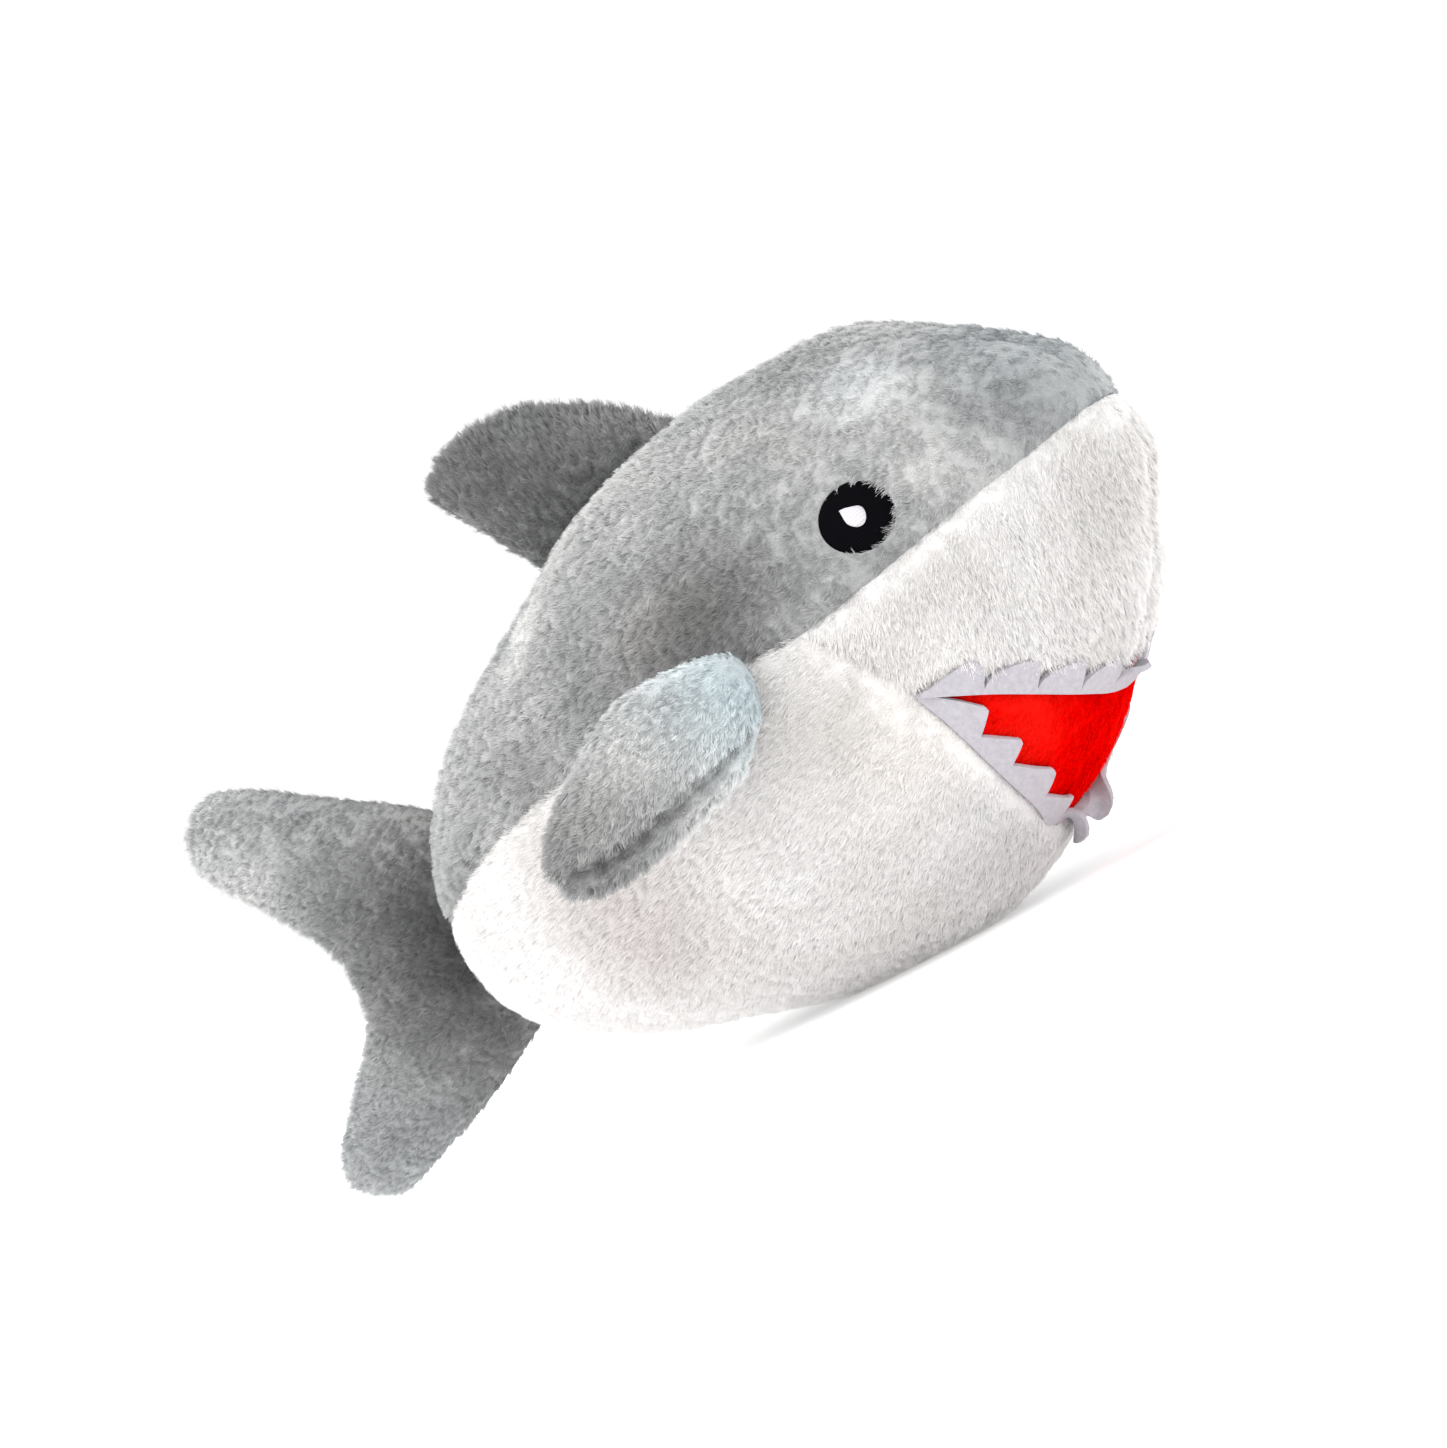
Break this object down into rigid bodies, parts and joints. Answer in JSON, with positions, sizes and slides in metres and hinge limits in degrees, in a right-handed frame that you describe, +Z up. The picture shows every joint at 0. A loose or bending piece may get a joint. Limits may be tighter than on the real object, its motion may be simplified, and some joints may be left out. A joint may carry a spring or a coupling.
{
  "type": "plush shark",
  "caption": "Small stuffed toy shark with a rounded egg body, sewn plush panels, felt teeth, embroidered eyes and flexible stuffed fins and tail, resting on its belly.",
  "frame": {"origin": "centre of the flat patch of the belly that the toy rests on", "axes": "+Z up, the nose points towards -Y, +X is the shark's left side"},
  "size_m": [0.1868, 0.262, 0.1391],
  "materials": {
    "gray_plush": "short brushed pile, mottled nap",
    "white_plush": "short brushed pile",
    "red_plush": "short brushed pile",
    "white_felt": "matte pressed felt",
    "eye_embroidery": "satin stitch thread",
    "glint_embroidery": "satin stitch thread",
    "stuffing": "loose polyester fibre"
  },
  "bodies": {
    "torso": {"back_panel_left": "gray_plush", "back_panel_right": "gray_plush", "snout_panel_left": "white_plush", "snout_panel_right": "white_plush", "belly_panel_left": "white_plush", "belly_panel_right": "white_plush", "mouth_lining": "red_plush", "upper_teeth": "white_felt", "lower_teeth": "white_felt", "body_stuffing": "stuffing", "eye_patch_left": "eye_embroidery", "eye_patch_right": "eye_embroidery", "eye_glint_left": "glint_embroidery", "eye_glint_right": "glint_embroidery"},
    "dorsal_fin": {"dorsal_fin_left_face": "gray_plush", "dorsal_fin_right_face": "gray_plush", "dorsal_fin_stuffing": "stuffing"},
    "tail": {"tail_left_face": "gray_plush", "tail_right_face": "gray_plush", "tail_stuffing": "stuffing"},
    "left_pectoral": {"left_pectoral_outer_face": "gray_plush", "left_pectoral_inner_face": "gray_plush", "left_pectoral_stuffing": "stuffing"},
    "right_pectoral": {"right_pectoral_outer_face": "gray_plush", "right_pectoral_inner_face": "gray_plush", "right_pectoral_stuffing": "stuffing"}
  },
  "joints": [
    {"name": "dorsal_fin_flex", "type": "hinge", "parent": "torso", "child": "dorsal_fin", "pos_m": [0, 0.00347, 0.11854], "axis": [0, -0.9538, 0.3003], "range_deg": [-25, 25], "stiffness_Nm_per_rad": 0.02},
    {"name": "tail_swing", "type": "hinge", "parent": "torso", "child": "tail", "pos_m": [0, 0.08924, 0.047], "axis": [0, 0, 1], "range_deg": [-30, 30], "stiffness_Nm_per_rad": 0.06},
    {"name": "left_pectoral_flap", "type": "hinge", "parent": "torso", "child": "left_pectoral", "pos_m": [0.06452, -0.04328, 0.06618], "axis": [0, -0.6157, -0.788], "range_deg": [-20, 45], "stiffness_Nm_per_rad": 0.02},
    {"name": "right_pectoral_flap", "type": "hinge", "parent": "torso", "child": "right_pectoral", "pos_m": [-0.06452, -0.04328, 0.06618], "axis": [0, 0.6157, 0.788], "range_deg": [-20, 45], "stiffness_Nm_per_rad": 0.02}
  ]
}
